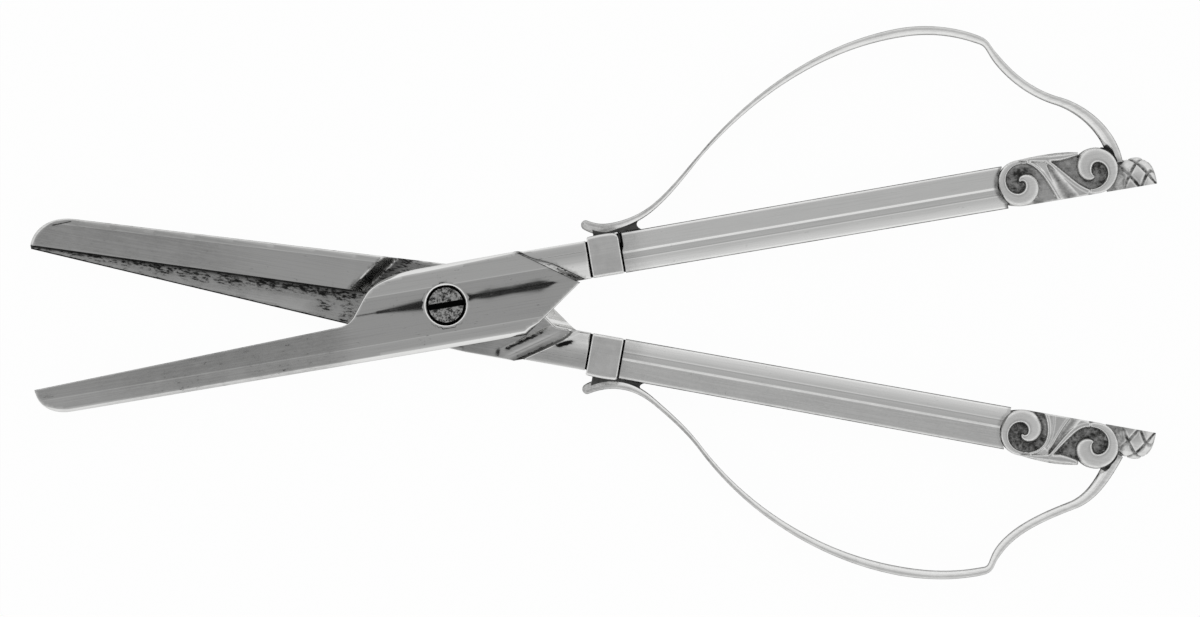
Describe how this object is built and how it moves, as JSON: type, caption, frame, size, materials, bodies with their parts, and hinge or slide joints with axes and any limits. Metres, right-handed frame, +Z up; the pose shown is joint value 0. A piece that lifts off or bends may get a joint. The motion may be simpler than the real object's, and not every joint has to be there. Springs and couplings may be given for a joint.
{
  "type": "grape shears",
  "caption": "Silver grape shears: two crossed halves on a slotted screw, with straight facetted handles, scroll terminals, half bud finials and long open finger bows.",
  "frame": {"origin": "on the pivot axis, at the flat back that the shears lie on", "axes": "+X from the pivot to the handles, midway between the two halves as they lie; +Y towards the upper half's bow; +Z up, from the back to the screw's slotted head"},
  "size_m": [0.1692, 0.0834, 0.005],
  "materials": {
    "silver": "polished, softly worn",
    "blade_metal": "plated, fine lengthwise brushing",
    "screw_metal": "pitted and worn",
    "solder": "oxidised",
    "cement": "rough"
  },
  "bodies": {
    "lower_half": {"lower_blade": "blade_metal", "lower_collar": "silver", "lower_handle_front": "silver", "lower_handle_back": "silver", "lower_handle_core": "cement", "lower_scroll": "silver", "lower_finial": "silver", "lower_bow": "silver", "lower_lug": "solder", "pivot_screw": "screw_metal"},
    "upper_half": {"upper_blade": "blade_metal", "upper_collar": "silver", "upper_handle_front": "silver", "upper_handle_back": "silver", "upper_handle_core": "cement", "upper_scroll": "silver", "upper_finial": "silver", "upper_bow": "silver", "upper_lug": "solder"}
  },
  "joints": [
    {"name": "blade_pivot", "type": "hinge", "parent": "lower_half", "child": "upper_half", "pos_m": [0, 0, 0.0025], "axis": [0, 0, 1], "range_deg": [-19.6, 90]}
  ]
}
